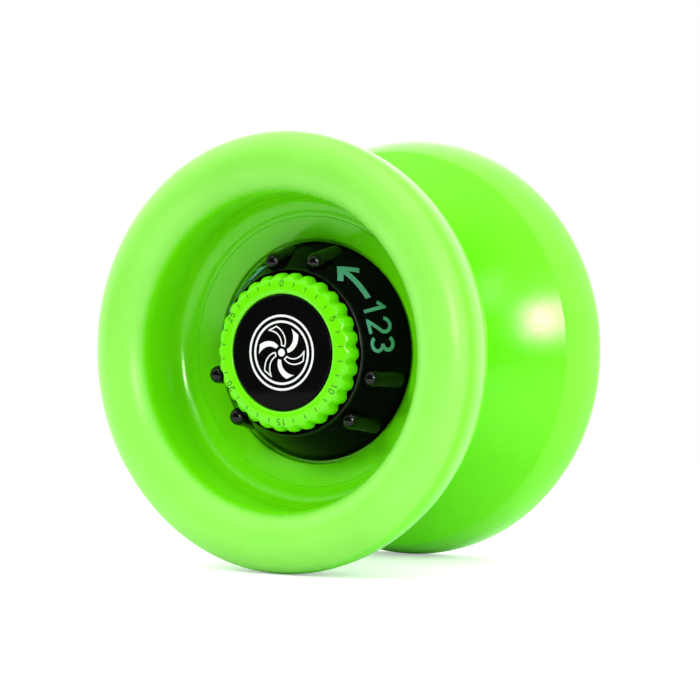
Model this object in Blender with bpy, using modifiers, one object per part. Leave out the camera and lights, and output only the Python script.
"""Full-size yo-yo on a ball bearing, with a string gap that its two side dials adjust.

The spin axis is Y, and the origin is the centre of the bearing.  Each half is laid out in a
frame of its own: x to the right, y up, and z out of the yo-yo, so a point there is
(radius, angle, station), where the station is the distance from the middle of the string gap.
The front half looks along -Y, and the back half is the same half turned round the Z axis.
"""
import math

import bmesh
import bpy
from mathutils import Matrix, Vector

MM = 0.001

# ---- driving dimensions, in metres -------------------------------------------------------
RIM_RADIUS = 28.5 * MM          # widest circle of a half
RIM_STATION = 16.9 * MM         # its distance from the middle of the gap
LIP_HEIGHT = 3.6 * MM           # crown of the lip above the widest circle
LIP_WIDTH = 8.0 * MM            # lip, from the cup wall to the widest circle
BAND_TAPER = 1.7 * MM           # the outer band narrows by this much towards the gap
BAND_LENGTH = 6.0 * MM          # axial length of the outer band
BAND_BOW = 0.4 * MM             # the band bulges past a straight taper at its middle
FLANK_POWER = 1.6               # shape of the flank that guides the string into the gap
FLOOR_DEPTH = 10.4 * MM         # crown of the lip to the cup floor at its wall
FLOOR_FILLET = 2.4 * MM
FLOOR_FALL = 1.2 * MM           # the cup floor falls towards the dial
STRING_GAP = 4.5 * MM           # between the two response pads
PAD_PROUD = 0.15 * MM           # the pads stand out of the shells' inner faces

BEARING_BORE = 6.35 * MM        # size C bearing
BEARING_OUTER = 12.7 * MM
BEARING_WIDTH = 4.762 * MM
BALL_DIAMETER = 1.588 * MM
BALL_COUNT = 8
BALL_GAP = 0.1 * MM
LAND_HEIGHT = 0.36 * MM         # a race's shoulder above the bottom of its ball groove
CAGE_WALL = 0.6 * MM
CAGE_BACK = 0.35 * MM           # of the cage behind its ball pockets
CAGE_GRIP = 0.35 * BALL_DIAMETER    # how far the pockets reach past the balls' centres
SHIELD_THICK = 0.22 * MM
SNAP_WIRE = 0.22 * MM
SEAT_WALL = 0.5 * MM             # outer race round its shields and snap rings
SEAT_FIT = 0.05 * MM
SNAP_MOUTH = math.radians(40)   # opening of a snap ring
EDGE = 0.2 * MM                 # small chamfers and clearances

PAD_SPACE = 1.1 * MM             # from the bearing out to the pad
PAD_WIDTH = 2.05 * MM
PAD_THICK = 0.95 * MM
PAD_FIT = 0.15 * MM
FACE_WIDTH = 0.6 * MM           # flat of the inner face outside the pad

AXLE_DIAMETER = 4.0 * MM
AXLE_STANDOUT = 0.05 * MM       # past the outer face of each nut
NUT_FLATS = 7.0 * MM
NUT_THICK = 3.0 * MM
AXLE_CHAMFER = 0.4 * MM

BARREL_RADIUS = 4.95 * MM       # part of the hub core that the shell slides on
BARREL_STATION = 3.6 * MM
KEY_COUNT = 3
KEY_WIDTH = 2.4 * MM
KEY_HEIGHT = 0.95 * MM
DRUM_RADIUS = 7.2 * MM          # head of the hub core, which carries the helical tracks
DRUM_DROP = 0.5 * MM            # the drum starts this far below the dial's foot
WELL_SLACK = 0.8 * MM           # under the drum, for the half's travel

DIAL_BASE_RADIUS = 14.4 * MM
DIAL_TOP_RADIUS = 10.9 * MM
DIAL_SET = 0.4 * MM             # its foot lies below the cup floor
DIAL_GAP = 0.35 * MM             # round its foot
DIAL_HEIGHT = 6.6 * MM
DIAL_WALL = 1.2 * MM
DIAL_RECESS = 0.9 * MM          # the dial's top plate lies below its edge
PLATE_THICK = 1.2 * MM
SLEEVE_WALL = 1.2 * MM
DIAL_TURN = math.radians(60)    # each way from the middle click
LEAD = 1.8 * MM                 # the dial's travel along the axis for one full turn
LUG_COUNT = 2
LUG_WIDTH = 1.6 * MM
LUG_TALL = 1.7 * MM
LUG_REACH = 0.6 * MM            # how far a lug reaches into its track
TRACK_GAP = 0.35 * MM           # on each side of a lug in its track
RIB_FOOT_RADIUS = 1.4 * MM
RIB_HEAD_RADIUS = 1.2 * MM
RIB_OUT = 1.25 * MM             # its head's centre lies this far outside the top edge
RIB_BITE = 0.6 * MM             # how far it reaches into the wall
RIB_PAIRS = 3
RIB_SPREAD = math.radians(15)   # each rib of a pair, from the pair's middle

BOSS_INNER = 9.2 * MM
BOSS_OUTER = 11.3 * MM
BOSS_RISE = 2.9 * MM            # above the dial's foot
BEAD = 0.45 * MM                # snap bead that holds the dial on the shell's boss
BEAD_LENGTH = 0.6 * MM
HOOK_LENGTH = 0.8 * MM          # of the dial's own bead under it

CLICK_COUNT = 30                # clicks in a full turn, and teeth round the click ring
DETENT_BALL = 1.2 * MM
DETENT_CLEAR = 0.05 * MM
POCKET_WALL = 0.6 * MM          # of the dial round its detent ball
POCKET_ROOF = 0.4 * MM          # and above the detent spring
DIMPLE_DEPTH = 0.35 * MM
DIMPLE_RADIUS = 0.6 * MM
SPRING_WIRE = 0.15 * MM
SPRING_TURNS = 3

RING_RADIUS = 10.4 * MM         # tips of the click ring's teeth
RING_GAP = 0.25 * MM            # between its teeth and the dial's recess
RING_EDGE = 0.3 * MM            # straight part of its toothed edge
RING_ROUND = 3.0                # power of its domed face: 2 is an ellipse, more is squarer
RING_HEIGHT = 2.4 * MM
TOOTH_DEPTH = 0.6 * MM
VALLEY_WIDTH = 0.96 * MM        # between two teeth
WEB_DROP = 0.4 * MM             # underside of its web above its base
CAP_RADIUS = 7.45 * MM
CAP_THICK = 0.5 * MM
CAP_SINK = 0.1 * MM             # the cap's face lies below the ring's lip
DRUM_WALL = 1.3 * MM            # drum round the ring's spigot
SPIGOT_WALL = 1.2 * MM
SPIGOT_LENGTH = 1.5 * MM
STUB_RADIUS = 2.1 * MM
STUB_LENGTH = 1.2 * MM

FIT = 0.3 * MM                  # between pieces that rest against each other
RUN = 0.15 * MM                 # between a shaft and what it runs or sits in
OVERCUT = 1.0 * MM              # how far cutters and joined pieces reach past a surface

# ---- sizes that follow --------------------------------------------------------------------
TRAVEL = LEAD * DIAL_TURN / (2 * math.pi)
CROWN_STATION = RIM_STATION + LIP_HEIGHT
CUP_RADIUS = RIM_RADIUS - LIP_WIDTH
FLOOR_STATION = CROWN_STATION - FLOOR_DEPTH
FLOOR_INNER = FLOOR_STATION - FLOOR_FALL
PAD_FACE = STRING_GAP / 2
INNER_FACE = PAD_FACE + PAD_PROUD
RACE_OUTER = BEARING_OUTER / 2
RACE_BORE = BEARING_BORE / 2
RACE_HALF = BEARING_WIDTH / 2
BALL_RADIUS = BALL_DIAMETER / 2
PITCH_RADIUS = (RACE_OUTER + RACE_BORE) / 2
PAD_INNER = RACE_OUTER + PAD_SPACE
PAD_OUTER = PAD_INNER + PAD_WIDTH
DIAL_FOOT = FLOOR_INNER - DIAL_SET
DIAL_TOP = DIAL_FOOT + DIAL_HEIGHT
PLATE_TOP = DIAL_TOP - DIAL_RECESS
BOSS_TOP = DIAL_FOOT + BOSS_RISE
DRUM_STATION = DIAL_FOOT - DRUM_DROP
DRUM_TOP = PLATE_TOP + TRAVEL
WELL_FLOOR = DRUM_STATION - WELL_SLACK
RING_BASE = DRUM_TOP + FIT
RING_LIP = RING_BASE + RING_HEIGHT
CAP_FACE = RING_LIP - CAP_SINK
SLEEVE_INNER = DRUM_RADIUS + FIT
SLEEVE_OUTER = SLEEVE_INNER + SLEEVE_WALL
LUG_STATION = (DRUM_STATION + DRUM_TOP) / 2
POCKET_TOP = PLATE_TOP - POCKET_ROOF
DETENT_RADIUS = (SLEEVE_OUTER + BOSS_OUTER) / 2
SPIGOT_RADIUS = DRUM_RADIUS - DRUM_WALL
NUT_BASE = DRUM_TOP - SPIGOT_LENGTH - NUT_THICK - RUN
AXLE_END = NUT_BASE + NUT_THICK + AXLE_STANDOUT

SHELL_STEPS = 36
DIAL_STEPS = 30
CORE_STEPS = 24
SMALL_STEPS = 16
FLANK_STEPS = 6                 # straight pieces of the flank's curve
SNAP_STEPS = 17                 # straight pieces of a snap ring
TRACK_STEPS = 12                # straight pieces of a helical track
SPRING_STEPS = 8                # straight pieces in one turn of the detent spring
BALL_SIDES = 8
BALL_BANDS = 6
POCKET_SIDES = 10
BORE_SIDES = 12

PARTS = "yo_yo"
CUTTERS = "yo_yo_cutters"


# ---- scene and helpers --------------------------------------------------------------------
def clear_scene():
    for obj in list(bpy.data.objects):
        bpy.data.objects.remove(obj, do_unlink=True)


def collection(name):
    group = bpy.data.collections.get(name)
    if group is None:
        group = bpy.data.collections.new(name)
        bpy.context.scene.collection.children.link(group)
    return group


def material(name, colour, roughness, metallic=0.0):
    mat = bpy.data.materials.get(name)
    if mat is None:
        mat = bpy.data.materials.new(name)
        mat.use_nodes = True
        shader = mat.node_tree.nodes["Principled BSDF"]
        shader.inputs["Base Color"].default_value = (*colour, 1.0)
        shader.inputs["Roughness"].default_value = roughness
        shader.inputs["Metallic"].default_value = metallic
    return mat


def lime_plastic():
    return material("lime_plastic", (0.19, 0.78, 0.01), 0.42)


def black_plastic():
    return material("black_plastic", (0.01, 0.01, 0.012), 0.12)


def grey_plastic():
    return material("grey_plastic", (0.35, 0.36, 0.38), 0.45)


def silicone():
    return material("silicone", (0.85, 0.87, 0.86), 0.6)


def steel():
    return material("steel", (0.62, 0.62, 0.60), 0.25, 1.0)


def nylon():
    return material("nylon", (0.80, 0.76, 0.66), 0.5)


def empty(name, parent=None):
    obj = bpy.data.objects.new(name, None)
    collection(PARTS).objects.link(obj)
    obj.parent = parent
    return obj


def half_empty(side):
    """Frame of one half: its z runs out of the yo-yo, its y is up."""
    obj = empty(side + "_half_axis")
    obj.rotation_euler = (math.pi / 2, 0.0, 0.0 if side == "front" else math.pi)
    return obj


def add_object(name, mesh, parent=None, mat=None, group=PARTS):
    obj = bpy.data.objects.new(name, mesh)
    collection(group).objects.link(obj)
    obj.parent = parent
    if mat is not None:
        mesh.materials.append(mat)
    if group == CUTTERS:
        obj.hide_render = True
        obj.display_type = "WIRE"
    return obj


def screw(obj, steps, angle=2 * math.pi, rise=0.0):
    mod = obj.modifiers.new("turn", "SCREW")
    mod.axis = "Z"
    mod.angle = angle
    mod.screw_offset = rise
    mod.steps = steps
    mod.render_steps = steps
    mod.use_merge_vertices = rise == 0.0
    mod.merge_threshold = 0.00001
    mod.use_smooth_shade = True
    return mod


def profile_mesh(name, points, closed=True):
    """Edges through (radius, station) points, in the xz plane."""
    mesh = bpy.data.meshes.new(name)
    bm = bmesh.new()
    verts = [bm.verts.new((r, 0.0, s)) for r, s in points]
    for a, b in zip(verts, verts[1:]):
        bm.edges.new((a, b))
    if closed:
        bm.edges.new((verts[-1], verts[0]))
    bm.to_mesh(mesh)
    bm.free()
    return mesh


def turned(name, points, steps, mat, parent=None, group=PARTS, closed=True):
    """Solid of revolution: its points run down the outer side and back up the inner one."""
    obj = add_object(name, profile_mesh(name, points, closed), parent, mat, group)
    screw(obj, steps)
    return obj


def mesh_from(bm, name):
    mesh = bpy.data.meshes.new(name)
    bmesh.ops.recalc_face_normals(bm, faces=bm.faces)
    bm.to_mesh(mesh)
    bm.free()
    return mesh


def at(radius, angle, station=0.0):
    return Vector((radius * math.cos(angle), radius * math.sin(angle), station))


def around(angle):
    return Matrix.Rotation(angle, 4, "Z")


def add_box(bm, size, centre, turn=0.0):
    """Box whose x side is radial, its centre at (radius, 0, station), turned round the axis."""
    place = around(turn) @ Matrix.Translation(centre) @ Matrix.Diagonal((*size, 1.0))
    bmesh.ops.create_cube(bm, size=1.0, matrix=place)


def add_rod(bm, radius, low, high, place, sides, tip=None):
    """Rod from low to high along its own z, tapered where a tip radius is given."""
    move = place @ Matrix.Translation((0.0, 0.0, (low + high) / 2))
    return bmesh.ops.create_cone(bm, cap_ends=True, segments=sides, radius1=radius,
                                 radius2=radius if tip is None else tip, depth=high - low,
                                 matrix=move)["verts"]


def round_end(bm, verts, place, radius, steps):
    """Dome the upper end of a rod: its end face is drawn out and narrowed in steps."""
    end = max((f for v in verts for f in v.link_faces if len(f.verts) > 4),
              key=lambda f: (place.inverted() @ f.calc_center_median()).z)
    axis = (place.to_3x3() @ Vector((0.0, 0.0, 1.0))).normalized()
    before = 0.0
    for i in range(1, steps + 1):
        angle = 0.42 * math.pi * i / steps
        out = bmesh.ops.extrude_face_region(bm, geom=[end])["geom"]
        bmesh.ops.delete(bm, geom=[end], context="FACES_ONLY")
        end = next(f for f in out if isinstance(f, bmesh.types.BMFace))
        centre = end.calc_center_median()
        rise = radius * (math.sin(angle) - math.sin(before))
        share = math.cos(angle) / math.cos(before)
        for vert in end.verts:
            vert.co = centre + (vert.co - centre) * share + axis * rise
        before = angle


def cutter(name, bm, parent):
    return add_object(name, mesh_from(bm, name), parent, group=CUTTERS)


def boolean(obj, tool, operation="DIFFERENCE"):
    mod = obj.modifiers.new(tool.name, "BOOLEAN")
    mod.operation = operation
    mod.solver = "EXACT"
    mod.object = tool
    return mod


def arc(centre, radial, axial, start, end, count):
    """Points on an elliptical arc about centre, from start to end, both in degrees."""
    points = []
    for i in range(count):
        a = math.radians(start + (end - start) * i / (count - 1))
        points.append((centre[0] + radial * math.cos(a), centre[1] + axial * math.sin(a)))
    return points


def dome(centre, radial, axial, power, count):
    """Quarter of a squared ellipse, from its crown to its edge."""
    points = []
    for i in range(count + 1):
        angle = math.pi / 2 * i / count
        out = math.sin(angle) ** (2 / power)
        up = max(0.0, math.cos(angle)) ** (2 / power)
        points.append((centre[0] + radial * out, centre[1] + axial * up))
    return points


def cone_radius(station):
    """Outer radius of the dial's wall at a station."""
    share = (station - DIAL_FOOT) / DIAL_HEIGHT
    return DIAL_BASE_RADIUS + (DIAL_TOP_RADIUS - DIAL_BASE_RADIUS) * share


# ---- the bearing ----------------------------------------------------------------------------
def groove(bottom, side, count=5):
    """Ball groove seen from a race: side is +1 on the outer race, and -1 on the inner one."""
    radius = BALL_RADIUS + BALL_GAP
    centre = bottom - side * radius
    half = math.degrees(math.acos(1 - LAND_HEIGHT / radius))
    points = arc((0.0, 0.0), radius, radius, -half, half, count)
    return [(centre + side * x, s) for x, s in points]


def bearing_outer_race():
    seat = RACE_HALF - SHIELD_THICK - SNAP_WIRE - 4 * SEAT_FIT
    seat_radius = RACE_OUTER - SEAT_WALL
    track = groove(PITCH_RADIUS + BALL_RADIUS + BALL_GAP, 1)
    land = track[0][0]
    points = [(RACE_OUTER - EDGE, RACE_HALF), (RACE_OUTER, RACE_HALF - EDGE),
              (RACE_OUTER, EDGE - RACE_HALF), (RACE_OUTER - EDGE, -RACE_HALF),
              (seat_radius, -RACE_HALF), (seat_radius, -seat), (land, -seat)]
    points += track
    points += [(land, seat), (seat_radius, seat), (seat_radius, RACE_HALF)]
    return points


def bearing_inner_race():
    track = groove(PITCH_RADIUS - BALL_RADIUS - BALL_GAP, -1)
    land = track[0][0]
    points = [(land, RACE_HALF)]
    points += reversed(track)
    points += [(land, -RACE_HALF), (RACE_BORE, -RACE_HALF), (RACE_BORE, RACE_HALF)]
    return points


def build_cage(parent):
    inner = PITCH_RADIUS - CAGE_WALL / 2
    outer = PITCH_RADIUS + CAGE_WALL / 2
    back = BALL_RADIUS + BALL_GAP + CAGE_BACK
    ring = turned("bearing_cage", [(outer, back), (outer, -CAGE_GRIP), (inner, -CAGE_GRIP),
                                   (inner, back)], CORE_STEPS, nylon(), parent)
    bm = bmesh.new()
    for i in range(BALL_COUNT):
        place = Matrix.Translation(at(PITCH_RADIUS, 2 * math.pi * i / BALL_COUNT))
        bmesh.ops.create_uvsphere(bm, u_segments=POCKET_SIDES, v_segments=BALL_BANDS,
                                  radius=BALL_RADIUS + BALL_GAP, matrix=place)
    boolean(ring, cutter("ball_pockets", bm, parent))


def build_balls(parent):
    bm = bmesh.new()
    bmesh.ops.create_uvsphere(bm, u_segments=BALL_SIDES, v_segments=BALL_BANDS,
                              radius=BALL_RADIUS)
    mesh = mesh_from(bm, "bearing_ball")
    mesh.shade_smooth()
    mesh.materials.append(steel())
    for i in range(BALL_COUNT):
        ball = add_object("bearing_ball_%d" % (i + 1), mesh, parent)
        ball.location = at(PITCH_RADIUS, 2 * math.pi * i / BALL_COUNT)


def snap_ring(name, station, parent):
    """Open wire ring that holds a shield in the outer race."""
    curve = bpy.data.curves.new(name, "CURVE")
    curve.dimensions = "3D"
    curve.bevel_depth = SNAP_WIRE / 2
    curve.bevel_resolution = 1
    curve.use_fill_caps = True
    radius = RACE_OUTER - SEAT_WALL - SEAT_FIT - SNAP_WIRE / 2
    spline = curve.splines.new("POLY")
    spline.points.add(SNAP_STEPS)
    sweep = 2 * math.pi - SNAP_MOUTH
    for i, point in enumerate(spline.points):
        point.co = (*at(radius, SNAP_MOUTH / 2 + sweep * i / SNAP_STEPS, station), 1.0)
    obj = bpy.data.objects.new(name, curve)
    collection(PARTS).objects.link(obj)
    obj.parent = parent
    curve.materials.append(steel())


def build_bearing():
    parent = empty("bearing_axis")
    parent.rotation_euler = (math.pi / 2, 0.0, 0.0)
    turned("bearing_outer_race", bearing_outer_race(), CORE_STEPS, steel(), parent)
    turned("bearing_inner_race", bearing_inner_race(), CORE_STEPS, steel(), parent)
    build_cage(parent)
    build_balls(parent)
    inner = PITCH_RADIUS - BALL_RADIUS - BALL_GAP + LAND_HEIGHT + EDGE
    outer = RACE_OUTER - SEAT_WALL - SEAT_FIT
    snap = RACE_HALF - SEAT_FIT - SNAP_WIRE / 2
    top = snap - SNAP_WIRE / 2 - SEAT_FIT
    low = top - SHIELD_THICK
    for side, sign in (("front", 1), ("back", -1)):
        stations = sorted((sign * top, sign * low), reverse=True)
        turned(side + "_bearing_shield", [(outer, stations[0]), (outer, stations[1]),
                                          (inner, stations[1]), (inner, stations[0])],
               CORE_STEPS, steel(), parent)
        snap_ring(side + "_snap_ring", sign * snap, parent)


def build_axle():
    parent = empty("axle_axis")
    parent.rotation_euler = (math.pi / 2, 0.0, 0.0)
    radius = AXLE_DIAMETER / 2
    half = AXLE_END
    points = [(0.0, half), (radius - AXLE_CHAMFER, half), (radius, half - AXLE_CHAMFER),
              (radius, AXLE_CHAMFER - half), (radius - AXLE_CHAMFER, -half), (0.0, -half)]
    turned("axle", points, SMALL_STEPS, steel(), parent, closed=False)


# ---- one half -------------------------------------------------------------------------------
def shell_profile():
    lip = (CUP_RADIUS + LIP_WIDTH / 2, RIM_STATION)
    crease = (RIM_RADIUS - BAND_TAPER, RIM_STATION - BAND_LENGTH)
    face_edge = (PAD_OUTER + PAD_FIT + FACE_WIDTH, INNER_FACE)
    recess_radius = RACE_OUTER + FIT
    groove_inner = PAD_INNER - PAD_FIT
    groove_outer = PAD_OUTER + PAD_FIT
    groove_floor = PAD_FACE + PAD_THICK + PAD_FIT
    bearing_floor = BARREL_STATION - EDGE / 2
    bore = BARREL_RADIUS + FIT
    seat_floor = DIAL_FOOT - FIT
    seat_radius = DIAL_BASE_RADIUS + DIAL_GAP
    points = arc(lip, LIP_WIDTH / 2, LIP_HEIGHT, 90, 0, 5)
    middle = ((RIM_RADIUS + crease[0]) / 2 + BAND_BOW, RIM_STATION - BAND_LENGTH / 2)
    points += [middle, crease]
    for i in range(1, FLANK_STEPS):
        share = 1 - i / FLANK_STEPS
        radius = face_edge[0] + (crease[0] - face_edge[0]) * share
        points.append((radius, INNER_FACE + (crease[1] - INNER_FACE) * share ** FLANK_POWER))
    points += [face_edge, (groove_outer, INNER_FACE), (groove_outer, groove_floor),
               (groove_inner, groove_floor), (groove_inner, INNER_FACE),
               (recess_radius, INNER_FACE), (recess_radius, bearing_floor),
               (bore, bearing_floor), (bore, WELL_FLOOR), (BOSS_INNER, WELL_FLOOR),
               (BOSS_INNER, BOSS_TOP), (BOSS_OUTER + EDGE, BOSS_TOP),
               (BOSS_OUTER + BEAD, BOSS_TOP - BEAD_LENGTH / 2),
               (BOSS_OUTER + BEAD, BOSS_TOP - BEAD_LENGTH), (BOSS_OUTER, BOSS_TOP - BEAD_LENGTH),
               (BOSS_OUTER, seat_floor), (seat_radius, seat_floor),
               (seat_radius, FLOOR_INNER)]
    points += arc((CUP_RADIUS - FLOOR_FILLET, FLOOR_STATION + FLOOR_FILLET), FLOOR_FILLET,
                  FLOOR_FILLET, -90, 0, 4)
    points += arc(lip, -LIP_WIDTH / 2, LIP_HEIGHT, 0, 90, 5)[:-1]
    return points


def build_shell(side, parent):
    shell = turned(side + "_shell", shell_profile(), SHELL_STEPS, lime_plastic(), parent)
    bm = bmesh.new()
    reach = BARREL_RADIUS + KEY_HEIGHT + FIT
    low = INNER_FACE + EDGE
    high = WELL_FLOOR + FIT
    for i in range(KEY_COUNT):
        add_box(bm, (reach, KEY_WIDTH + 2 * FIT, high - low),
                (reach / 2, 0.0, (low + high) / 2), math.pi / 2 + 2 * math.pi * i / KEY_COUNT)
    boolean(shell, cutter(side + "_keyways", bm, parent))
    bm = bmesh.new()
    click = 2 * math.pi / CLICK_COUNT
    clicks_each_way = round(DIAL_TURN / click)
    for i in range(-clicks_each_way, clicks_each_way + 1):
        place = around(i * click) @ Matrix.Translation((DETENT_RADIUS, 0.0, 0.0))
        add_rod(bm, EDGE / 2, BOSS_TOP - DIMPLE_DEPTH, BOSS_TOP + DIMPLE_DEPTH, place, 6,
                2 * DIMPLE_RADIUS)
    boolean(shell, cutter(side + "_dimples", bm, parent))


def build_pad(side, parent):
    back = PAD_FACE + PAD_THICK
    turned(side + "_response_pad", [(PAD_OUTER, back), (PAD_OUTER, PAD_FACE),
                                    (PAD_INNER, PAD_FACE), (PAD_INNER, back)],
           SHELL_STEPS, silicone(), parent)


def track_cutter(side, parent):
    """Helical tracks round the drum, each as long as its lug's travel."""
    half_wide = LUG_TALL / 2 + TRACK_GAP
    floor = DRUM_RADIUS - LUG_REACH - FIT
    sweep = 2 * DIAL_TURN + (LUG_WIDTH + 2 * TRACK_GAP) / (DRUM_RADIUS - LUG_REACH)
    rise = LEAD * sweep / (2 * math.pi)
    low = LUG_STATION - rise / 2
    outer = DRUM_RADIUS + OVERCUT
    points = [(outer, low + half_wide), (outer, low - half_wide),
              (floor, low - half_wide), (floor, low + half_wide)]
    bm = bmesh.new()
    for i in range(LUG_COUNT):
        start = math.pi / 2 + 2 * math.pi * i / LUG_COUNT - sweep / 2
        face = bm.faces.new([bm.verts.new(around(start) @ Vector((r, 0.0, s)))
                             for r, s in points])
        bmesh.ops.spin(bm, geom=[face] + list(face.verts) + list(face.edges),
                       axis=(0.0, 0.0, 1.0), cent=(0.0, 0.0, 0.0),
                       dvec=(0.0, 0.0, rise / TRACK_STEPS), angle=sweep,
                       steps=TRACK_STEPS, use_duplicate=False)
    return cutter(side + "_tracks", bm, parent)


def build_hub_core(side, parent):
    spigot = RACE_BORE - RUN
    shoulder = PITCH_RADIUS - BALL_RADIUS - BALL_GAP + EDGE
    bore = AXLE_DIAMETER / 2 + RUN
    counterbore = DRUM_TOP - SPIGOT_LENGTH
    points = [(DRUM_RADIUS, DRUM_TOP), (DRUM_RADIUS, DRUM_STATION),
              (BARREL_RADIUS, DRUM_STATION), (BARREL_RADIUS, BARREL_STATION),
              (shoulder, BARREL_STATION), (shoulder, RACE_HALF + RUN),
              (spigot, RACE_HALF + RUN), (spigot, RUN), (bore, RUN), (bore, counterbore),
              (SPIGOT_RADIUS + RUN, counterbore), (SPIGOT_RADIUS + RUN, DRUM_TOP)]
    core = turned(side + "_hub_core", points, CORE_STEPS, grey_plastic(), parent)
    bm = bmesh.new()
    low = BARREL_STATION + FIT
    high = DRUM_STATION + FIT
    inner = BARREL_RADIUS - OVERCUT
    outer = BARREL_RADIUS + KEY_HEIGHT
    for i in range(KEY_COUNT):
        add_box(bm, (outer - inner, KEY_WIDTH, high - low),
                ((inner + outer) / 2, 0.0, (low + high) / 2),
                math.pi / 2 + 2 * math.pi * i / KEY_COUNT)
    boolean(core, cutter(side + "_keys", bm, parent), "UNION")
    bm = bmesh.new()
    corner = (NUT_FLATS / 2 + RUN) / math.cos(math.pi / 6)
    add_rod(bm, corner, NUT_BASE - RUN, counterbore + FIT, Matrix(), 6)
    boolean(core, cutter(side + "_nut_pocket", bm, parent))
    boolean(core, track_cutter(side, parent))


def build_nut(side, parent):
    bm = bmesh.new()
    add_rod(bm, NUT_FLATS / 2 / math.cos(math.pi / 6), NUT_BASE, NUT_BASE + NUT_THICK,
            Matrix(), 6)
    nut = add_object(side + "_axle_nut", mesh_from(bm, side + "_axle_nut"), parent, steel())
    bm = bmesh.new()
    add_rod(bm, AXLE_DIAMETER / 2 + RUN, NUT_BASE - FIT, NUT_BASE + NUT_THICK + FIT,
            Matrix(), SMALL_STEPS)
    boolean(nut, cutter(side + "_nut_bore", bm, parent))


def dial_profile():
    base = DIAL_FOOT
    bead_inner = BOSS_OUTER + EDGE
    bead_top = BOSS_TOP - BEAD_LENGTH - FIT
    bead_low = bead_top - HOOK_LENGTH
    clear = BOSS_OUTER + BEAD + EDGE
    plate_low = PLATE_TOP - PLATE_THICK
    base_inner = clear + HOOK_LENGTH
    recess = RING_RADIUS + RING_GAP
    edge = DIAL_TOP_RADIUS - recess
    return [(recess, DIAL_TOP), (DIAL_TOP_RADIUS, DIAL_TOP - edge), (DIAL_BASE_RADIUS, base),
            (base_inner, base), (base_inner, bead_low), (bead_inner, bead_low),
            (bead_inner, bead_top), (clear, bead_top),
            (clear, BOSS_TOP + EDGE), (cone_radius(plate_low) - DIAL_WALL, plate_low),
            (SLEEVE_OUTER, plate_low), (SLEEVE_OUTER, LUG_STATION - LUG_TALL / 2 - FIT),
            (SLEEVE_INNER, LUG_STATION - LUG_TALL / 2 - FIT), (SLEEVE_INNER, PLATE_TOP),
            (recess, PLATE_TOP)]


def rib_mesh():
    """Six ribs on the dial's sloping wall, in three pairs, each with a round head at the top."""
    foot_radius = DIAL_BASE_RADIUS - RIB_FOOT_RADIUS
    head_radius = DIAL_TOP_RADIUS + RIB_OUT
    low = DIAL_FOOT + EDGE
    high = DIAL_TOP - RIB_HEAD_RADIUS
    slope = math.atan2(foot_radius - head_radius, high - low)
    length = (high - low) / math.cos(slope)
    bm = bmesh.new()
    for pair in range(RIB_PAIRS):
        for sign in (-1, 1):
            clock = 2 * math.pi * pair / RIB_PAIRS + sign * RIB_SPREAD
            foot = Matrix.Translation((foot_radius, 0.0, low))
            place = around(math.pi / 2 - clock) @ foot @ Matrix.Rotation(-slope, 4, "Y")
            rod = add_rod(bm, RIB_FOOT_RADIUS, 0.0, length, place, 8, RIB_HEAD_RADIUS)
            round_end(bm, rod, place, RIB_HEAD_RADIUS, 2)
    return bm


def build_dial(side, parent):
    dial = turned(side + "_dial", dial_profile(), DIAL_STEPS, black_plastic(), parent)
    ribs = cutter(side + "_ribs", rib_mesh(), parent)
    low = DIAL_FOOT - OVERCUT
    high = DIAL_TOP + OVERCUT
    plug = turned(side + "_rib_plug", [(0.0, high), (cone_radius(high) - RIB_BITE, high),
                                       (cone_radius(low) - RIB_BITE, low), (0.0, low)],
                  DIAL_STEPS, None, parent, CUTTERS, closed=False)
    boolean(ribs, plug)
    boolean(dial, ribs, "UNION")
    bm = bmesh.new()
    pocket = Matrix.Translation((DETENT_RADIUS, 0.0, 0.0))
    add_rod(bm, DETENT_BALL / 2 + RUN + POCKET_WALL, BOSS_TOP + FIT, PLATE_TOP - FIT,
            pocket, BORE_SIDES)
    for i in range(LUG_COUNT):
        inner = DRUM_RADIUS - LUG_REACH
        outer = SLEEVE_INNER + SLEEVE_WALL / 2
        add_box(bm, (outer - inner, LUG_WIDTH, LUG_TALL),
                ((inner + outer) / 2, 0.0, LUG_STATION),
                math.pi / 2 + 2 * math.pi * i / LUG_COUNT)
    boolean(dial, cutter(side + "_lugs", bm, parent), "UNION")
    bm = bmesh.new()
    add_rod(bm, DETENT_BALL / 2 + RUN, BOSS_TOP, POCKET_TOP, pocket, BORE_SIDES)
    boolean(dial, cutter(side + "_detent_bore", bm, parent))


def build_detent(side, parent):
    """Ball and spring that click the dial from dimple to dimple."""
    radius = DETENT_BALL / 2
    bm = bmesh.new()
    bmesh.ops.create_uvsphere(bm, u_segments=BALL_SIDES, v_segments=BALL_BANDS, radius=radius)
    mesh = mesh_from(bm, side + "_detent_ball")
    mesh.shade_smooth()
    ball = add_object(side + "_detent_ball", mesh, parent, steel())
    centre = BOSS_TOP + DETENT_CLEAR + radius
    ball.location = (DETENT_RADIUS, 0.0, centre)
    curve = bpy.data.curves.new(side + "_detent_spring", "CURVE")
    curve.dimensions = "3D"
    curve.bevel_depth = SPRING_WIRE / 2
    curve.bevel_resolution = 1
    curve.use_fill_caps = True
    low = centre + radius + SPRING_WIRE
    high = POCKET_TOP - SPRING_WIRE
    count = SPRING_TURNS * SPRING_STEPS
    spline = curve.splines.new("POLY")
    spline.points.add(count)
    coil = radius - SPRING_WIRE
    for i, point in enumerate(spline.points):
        point.co = (*at(coil, 2 * math.pi * i / SPRING_STEPS,
                        low + (high - low) * i / count), 1.0)
    spring = bpy.data.objects.new(side + "_detent_spring", curve)
    collection(PARTS).objects.link(spring)
    spring.parent = parent
    spring.location = (DETENT_RADIUS, 0.0, 0.0)
    curve.materials.append(steel())


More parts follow.
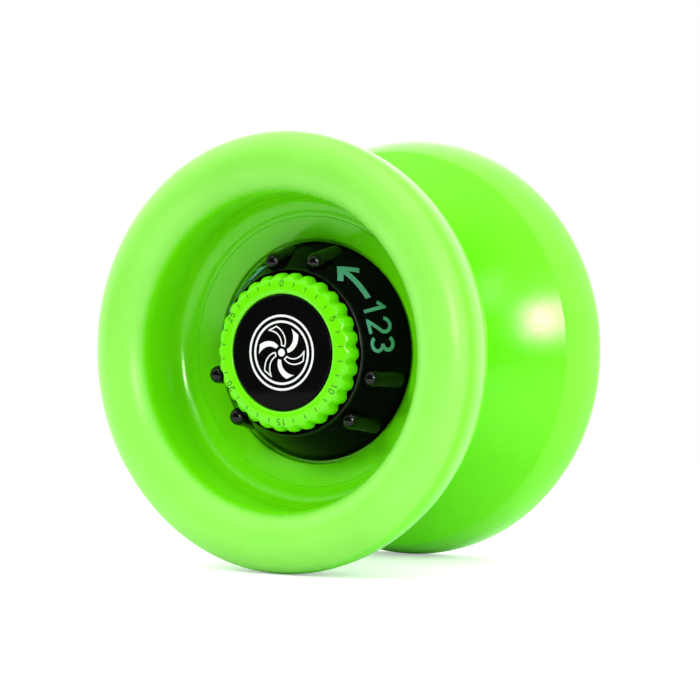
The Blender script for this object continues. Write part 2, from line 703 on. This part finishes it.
def ring_profile():
    """Click ring: toothed edge, face that domes up to the cap, web, and a spigot behind."""
    lip_inner = CAP_RADIUS + RUN
    web_top = CAP_FACE - CAP_THICK - FIT
    web_low = RING_BASE + WEB_DROP
    edge_top = RING_BASE + RING_EDGE
    crown = lip_inner + FIT
    hole = STUB_RADIUS + RUN
    face = dome((crown, edge_top), RING_RADIUS - crown, RING_LIP - edge_top, RING_ROUND, 5)
    return face + [(RING_RADIUS, RING_BASE), (SPIGOT_RADIUS, RING_BASE),
                   (SPIGOT_RADIUS, RING_BASE - SPIGOT_LENGTH + RUN),
                   (SPIGOT_RADIUS - SPIGOT_WALL, RING_BASE - SPIGOT_LENGTH + RUN),
                   (SPIGOT_RADIUS - SPIGOT_WALL, web_low), (hole, web_low), (hole, web_top),
                   (lip_inner, web_top), (lip_inner, RING_LIP - EDGE / 2)]


def build_click_ring(side, parent):
    ring = turned(side + "_click_ring", ring_profile(), CLICK_COUNT, lime_plastic(), parent)
    bm = bmesh.new()
    for i in range(CLICK_COUNT):
        angle = 2 * math.pi * (i + 0.5) / CLICK_COUNT
        place = around(angle) @ Matrix.Translation((RING_RADIUS, 0.0, 0.0))
        stretch = Matrix.Diagonal((TOOTH_DEPTH, VALLEY_WIDTH / 2, 1.0, 1.0))
        add_rod(bm, 1.0, RING_BASE - FIT, RING_LIP, place @ stretch, 6)
    boolean(ring, cutter(side + "_valleys", bm, parent))


def build_cap(side, parent):
    back = CAP_FACE - CAP_THICK
    points = [(0.0, CAP_FACE), (CAP_RADIUS - EDGE, CAP_FACE), (CAP_RADIUS, CAP_FACE - EDGE),
              (CAP_RADIUS, back), (STUB_RADIUS, back), (STUB_RADIUS, back - STUB_LENGTH),
              (0.0, back - STUB_LENGTH)]
    turned(side + "_cap", points, DIAL_STEPS, black_plastic(), parent, closed=False)


def build_half(side):
    parent = half_empty(side)
    build_shell(side, parent)
    build_pad(side, parent)
    build_hub_core(side, parent)
    build_nut(side, parent)
    build_dial(side, parent)
    build_detent(side, parent)
    build_click_ring(side, parent)
    build_cap(side, parent)


def main():
    clear_scene()
    build_bearing()
    build_axle()
    for side in ("front", "back"):
        build_half(side)
    bpy.context.view_layer.update()


main()
